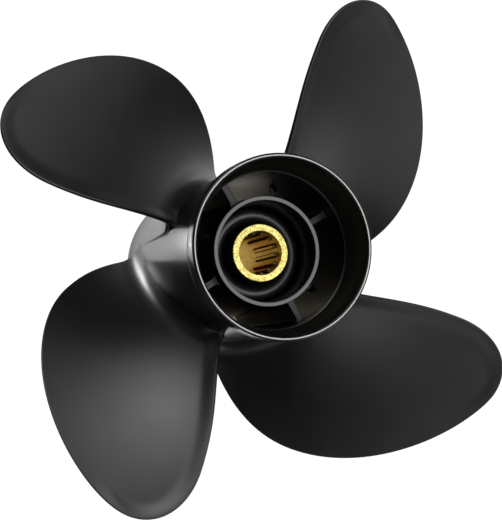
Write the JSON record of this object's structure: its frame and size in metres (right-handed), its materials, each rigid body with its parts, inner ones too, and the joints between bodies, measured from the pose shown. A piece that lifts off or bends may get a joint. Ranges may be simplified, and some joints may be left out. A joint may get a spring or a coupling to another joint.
{
  "type": "outboard-motor propeller",
  "caption": "Right-hand boat propeller for an outboard motor: broad raked blades on an exhaust barrel, with a rubber-mounted splined brass drive sleeve in its hub.",
  "frame": {"origin": "centre of the barrel's front end face, on the shaft axis", "axes": "+Z along the shaft axis towards the stern, +X through the tip of blade_1"},
  "size_m": [0.3424, 0.3424, 0.161],
  "materials": {
    "casting": "satin black enamel over cast aluminium",
    "bushing": "moulded, slightly shiny",
    "sleeve": "sawn and broached, unpolished"
  },
  "bodies": {
    "root": {"outer_barrel": "casting", "aft_ring": "casting", "inner_hub": "casting", "rib_1": "casting", "rib_2": "casting", "rib_3": "casting", "rib_4": "casting", "blade_1": "casting", "blade_2": "casting", "blade_3": "casting", "blade_4": "casting", "rubber_bushing": "bushing", "drive_sleeve": "sleeve"}
  },
  "joints": []
}
